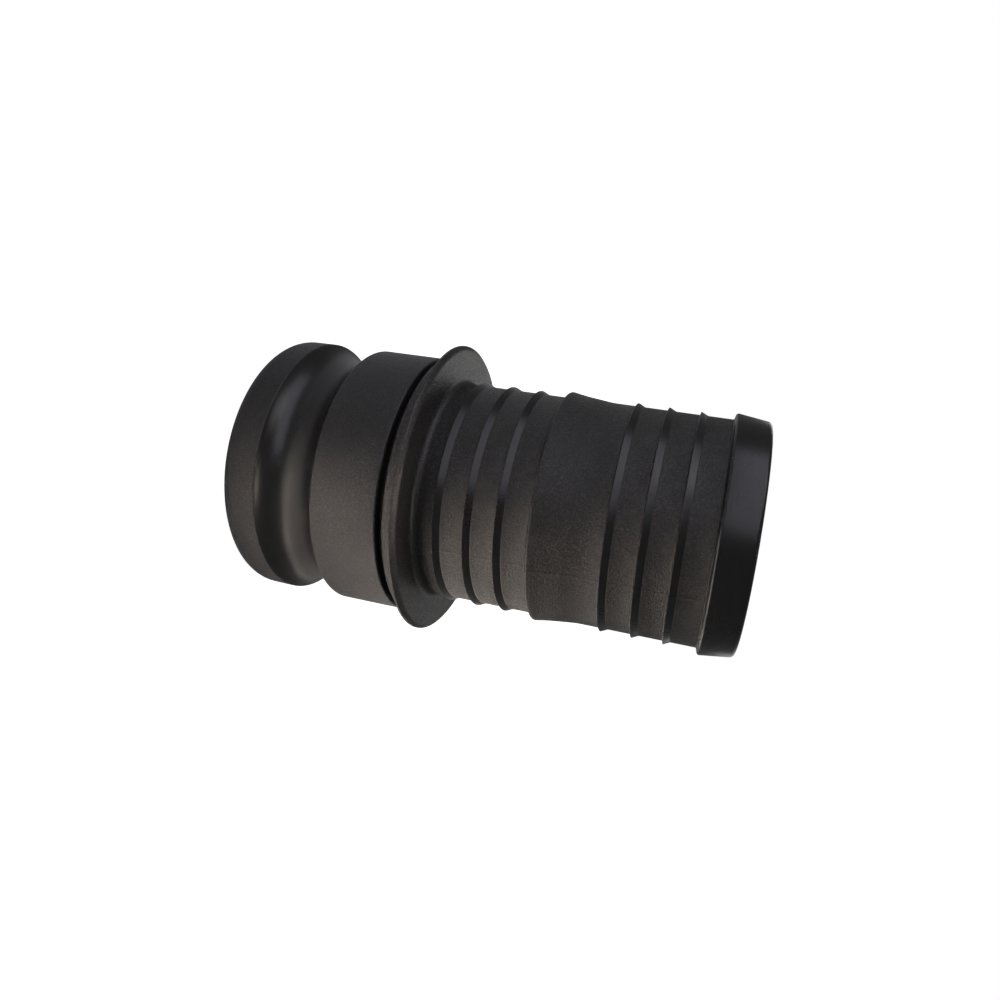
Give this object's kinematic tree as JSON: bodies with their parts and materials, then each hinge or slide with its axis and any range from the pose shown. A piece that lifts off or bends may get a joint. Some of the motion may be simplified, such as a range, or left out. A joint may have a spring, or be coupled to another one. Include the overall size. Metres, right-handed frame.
{
  "type": "camlock coupling adapter",
  "caption": "Cam-and-groove adapter with a lip, a round cam groove and a barrel, screwed to a flanged, barbed hose tail with a straight bore.",
  "frame": {"origin": "centre of the sealing face of the cam end", "axes": "+Z along the bore, from the sealing face to the hose end; X and Y are any two directions across it, because the part is round"},
  "size_m": [0.1022, 0.1022, 0.1704],
  "materials": {
    "head_plastic": "fine matte moulded texture, smoother in the groove",
    "seal_rubber": "matte black rubber",
    "tail_plastic": "satin moulded plastic with a soft grain"
  },
  "bodies": {
    "root": {"cam_head": "head_plastic", "neck_seal": "seal_rubber", "hose_tail": "tail_plastic"}
  },
  "joints": []
}
